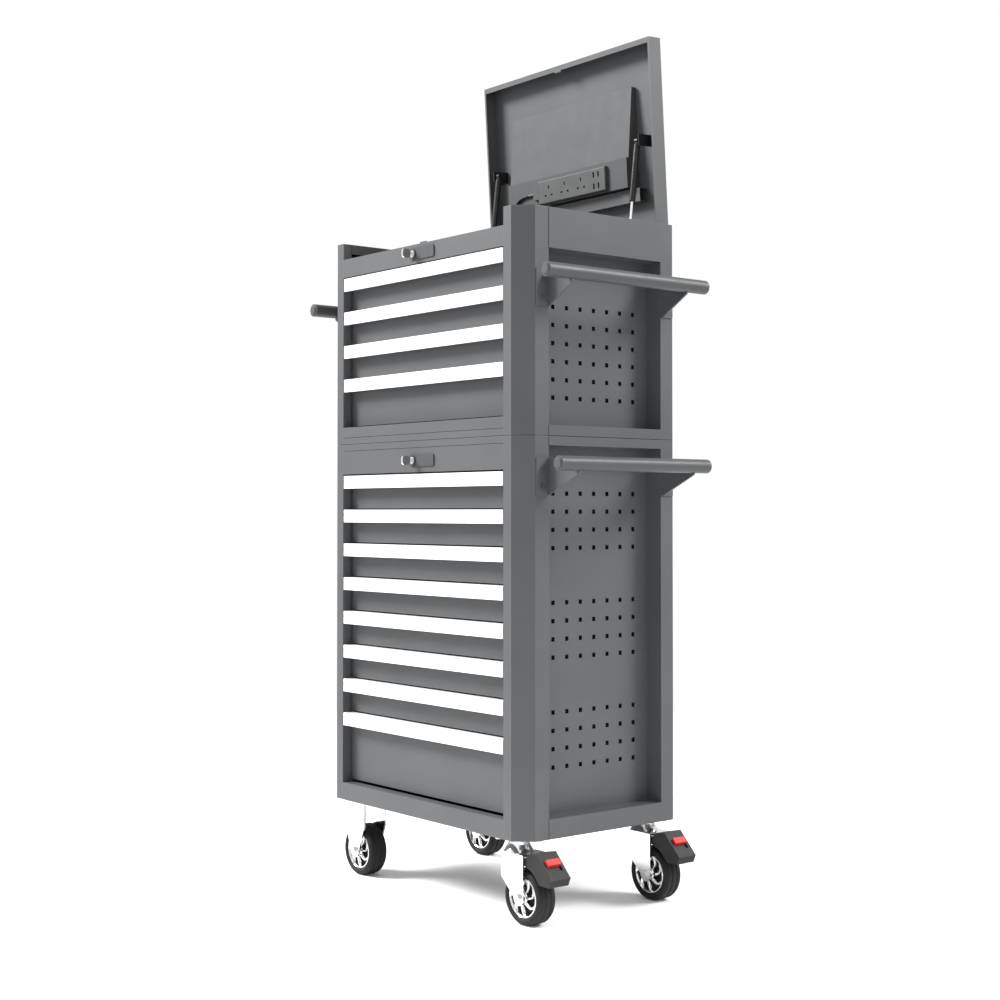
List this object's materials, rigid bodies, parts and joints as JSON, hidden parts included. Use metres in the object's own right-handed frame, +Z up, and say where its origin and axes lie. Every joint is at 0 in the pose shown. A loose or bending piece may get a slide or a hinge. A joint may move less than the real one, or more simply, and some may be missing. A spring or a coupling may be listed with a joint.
{
  "type": "rolling tool chest",
  "caption": "Grey steel tool chest on a roller cabinet, with full-width drawer pulls, a raised lid on gas struts, peg-holed sides, push handles and casters.",
  "frame": {"origin": "on the floor, under the middle of the object's extent with its lid open", "axes": "+X to the right as the user faces the drawers, -Y the way the drawers open, +Z up"},
  "size_m": [0.916, 0.5094, 1.9016],
  "materials": {
    "grey_paint": "satin powder coat",
    "zinc_steel": "zinc plated",
    "chrome": "bright",
    "black_paint": "satin",
    "tube_steel": "smooth metallic grey",
    "grey_plastic": "matte",
    "pull_aluminium": "bright anodised",
    "strip_plastic": "matte",
    "black_rubber": "matte",
    "black_plastic": "matte",
    "wheel_rubber": "matte"
  },
  "bodies": {
    "carcass": {"cabinet_shell": "grey_paint", "caster_plates": "zinc_steel", "chest_shell": "grey_paint", "corner_posts": "grey_paint", "fixed_caster_forks": "chrome", "front_rails": "grey_paint", "handle_brackets": "grey_paint", "handle_end_plugs": "grey_plastic", "handle_screws": "zinc_steel", "handle_tubes": "tube_steel", "hinge_chest_leaves": "zinc_steel", "lead_coil": "black_rubber", "lead_in_well": "black_rubber", "lead_plug": "black_plastic", "lock_plates": "grey_plastic", "side_peg_panels": "grey_paint", "slide_rails": "zinc_steel", "strut_chest_brackets": "zinc_steel"},
    "drawer_01": {"drawer_box_01": "grey_paint", "drawer_pull_01": "pull_aluminium"},
    "drawer_02": {"drawer_box_02": "grey_paint", "drawer_pull_02": "pull_aluminium"},
    "drawer_03": {"drawer_box_03": "grey_paint", "drawer_pull_03": "pull_aluminium"},
    "drawer_04": {"drawer_box_04": "grey_paint", "drawer_pull_04": "pull_aluminium"},
    "drawer_05": {"drawer_box_05": "grey_paint", "drawer_pull_05": "pull_aluminium"},
    "drawer_06": {"drawer_box_06": "grey_paint", "drawer_pull_06": "pull_aluminium"},
    "drawer_07": {"drawer_box_07": "grey_paint", "drawer_pull_07": "pull_aluminium"},
    "drawer_08": {"drawer_box_08": "grey_paint", "drawer_pull_08": "pull_aluminium"},
    "drawer_09": {"drawer_box_09": "grey_paint", "drawer_pull_09": "pull_aluminium"},
    "drawer_10": {"drawer_box_10": "grey_paint", "drawer_pull_10": "pull_aluminium"},
    "drawer_11": {"drawer_box_11": "grey_paint", "drawer_pull_11": "pull_aluminium"},
    "drawer_12": {"drawer_box_12": "grey_paint", "drawer_pull_12": "pull_aluminium"},
    "lid": {"lid_shell": "grey_paint", "lid_pocket": "grey_paint", "power_strip": "strip_plastic", "hinge_lid_leaves": "zinc_steel", "strut_lid_brackets": "zinc_steel", "lead_on_lid": "black_rubber"},
    "strut_rods": {"strut_rods": "chrome"},
    "strut_cylinders": {"strut_cylinders": "black_paint"},
    "swivel_front": {"swivel_fork_front": "chrome"},
    "pedal_front": {"brake_pedal_front": "black_plastic"},
    "wheel_front_right": {"wheel_front_right": "wheel_rubber"},
    "wheel_front_left": {"wheel_front_left": "wheel_rubber"},
    "swivel_rear": {"swivel_fork_rear": "chrome"},
    "pedal_rear": {"brake_pedal_rear": "black_plastic"},
    "wheel_rear_right": {"wheel_rear_right": "wheel_rubber"},
    "wheel_rear_left": {"wheel_rear_left": "wheel_rubber"},
    "chest_lock": {"chest_lock": "chrome"},
    "cabinet_lock": {"cabinet_lock": "chrome"}
  },
  "joints": [
    {"name": "drawer_01_slide", "type": "slide", "parent": "carcass", "child": "drawer_01", "axis": [0, -1, 0], "range_m": [0, 0.3]},
    {"name": "drawer_02_slide", "type": "slide", "parent": "carcass", "child": "drawer_02", "axis": [0, -1, 0], "range_m": [0, 0.3]},
    {"name": "drawer_03_slide", "type": "slide", "parent": "carcass", "child": "drawer_03", "axis": [0, -1, 0], "range_m": [0, 0.3]},
    {"name": "drawer_04_slide", "type": "slide", "parent": "carcass", "child": "drawer_04", "axis": [0, -1, 0], "range_m": [0, 0.3]},
    {"name": "drawer_05_slide", "type": "slide", "parent": "carcass", "child": "drawer_05", "axis": [0, -1, 0], "range_m": [0, 0.3]},
    {"name": "drawer_06_slide", "type": "slide", "parent": "carcass", "child": "drawer_06", "axis": [0, -1, 0], "range_m": [0, 0.3]},
    {"name": "drawer_07_slide", "type": "slide", "parent": "carcass", "child": "drawer_07", "axis": [0, -1, 0], "range_m": [0, 0.3]},
    {"name": "drawer_08_slide", "type": "slide", "parent": "carcass", "child": "drawer_08", "axis": [0, -1, 0], "range_m": [0, 0.3]},
    {"name": "drawer_09_slide", "type": "slide", "parent": "carcass", "child": "drawer_09", "axis": [0, -1, 0], "range_m": [0, 0.3]},
    {"name": "drawer_10_slide", "type": "slide", "parent": "carcass", "child": "drawer_10", "axis": [0, -1, 0], "range_m": [0, 0.3]},
    {"name": "drawer_11_slide", "type": "slide", "parent": "carcass", "child": "drawer_11", "axis": [0, -1, 0], "range_m": [0, 0.3]},
    {"name": "drawer_12_slide", "type": "slide", "parent": "carcass", "child": "drawer_12", "axis": [0, -1, 0], "range_m": [0, 0.3]},
    {"name": "lid_hinge", "type": "hinge", "parent": "carcass", "child": "lid", "pos_m": [-0.01, 0.23125, 1.448], "axis": [1, 0, 0], "range_deg": [0, 86.6], "stiffness_Nm_per_rad": 2, "springref_deg": -85.94},
    {"name": "strut_swing", "type": "hinge", "parent": "carcass", "child": "strut_rods", "pos_m": [-0.01, 0.17025, 1.402], "axis": [1, 0, 0], "range_deg": [-0.2, 86.67]},
    {"name": "strut_slide", "type": "slide", "parent": "strut_rods", "child": "strut_cylinders", "axis": [0, 0.116, 0.9932], "range_m": [-0.10529, 0.0003]},
    {"name": "swivel_front_turn", "type": "hinge", "parent": "carcass", "child": "swivel_front", "pos_m": [0.273, -0.16875, 0.14], "axis": [0, 0, 1], "continuous": true},
    {"name": "wheel_front_right_roll", "type": "hinge", "parent": "swivel_front", "child": "wheel_front_right", "pos_m": [0.309, -0.16875, 0.058], "axis": [0, 1, 0], "continuous": true},
    {"name": "wheel_front_left_roll", "type": "hinge", "parent": "carcass", "child": "wheel_front_left", "pos_m": [-0.293, -0.16875, 0.058], "axis": [0, 1, 0], "continuous": true},
    {"name": "pedal_front_press", "type": "hinge", "parent": "swivel_front", "child": "pedal_front", "pos_m": [0.318, -0.16875, 0.134], "axis": [0, 1, 0], "range_deg": [0, 5]},
    {"name": "swivel_rear_turn", "type": "hinge", "parent": "carcass", "child": "swivel_rear", "pos_m": [0.273, 0.18725, 0.14], "axis": [0, 0, 1], "continuous": true},
    {"name": "wheel_rear_right_roll", "type": "hinge", "parent": "swivel_rear", "child": "wheel_rear_right", "pos_m": [0.309, 0.18725, 0.058], "axis": [0, 1, 0], "continuous": true},
    {"name": "wheel_rear_left_roll", "type": "hinge", "parent": "carcass", "child": "wheel_rear_left", "pos_m": [-0.293, 0.18725, 0.058], "axis": [0, 1, 0], "continuous": true},
    {"name": "pedal_rear_press", "type": "hinge", "parent": "swivel_rear", "child": "pedal_rear", "pos_m": [0.318, 0.18725, 0.134], "axis": [0, 1, 0], "range_deg": [0, 5]},
    {"name": "chest_lock_turn", "type": "hinge", "parent": "carcass", "child": "chest_lock", "pos_m": [-0.026, -0.22275, 1.412], "axis": [0, 1, 0], "range_deg": [0, 90]},
    {"name": "cabinet_lock_turn", "type": "hinge", "parent": "carcass", "child": "cabinet_lock", "pos_m": [-0.026, -0.22275, 0.957], "axis": [0, 1, 0], "range_deg": [0, 90]}
  ],
  "couplings": [
    {"joint": "strut_swing", "follows": "lid_hinge", "ratio": 0.9973},
    {"joint": "strut_slide", "follows": "lid_hinge", "m_per_rad": -0.06933}
  ]
}
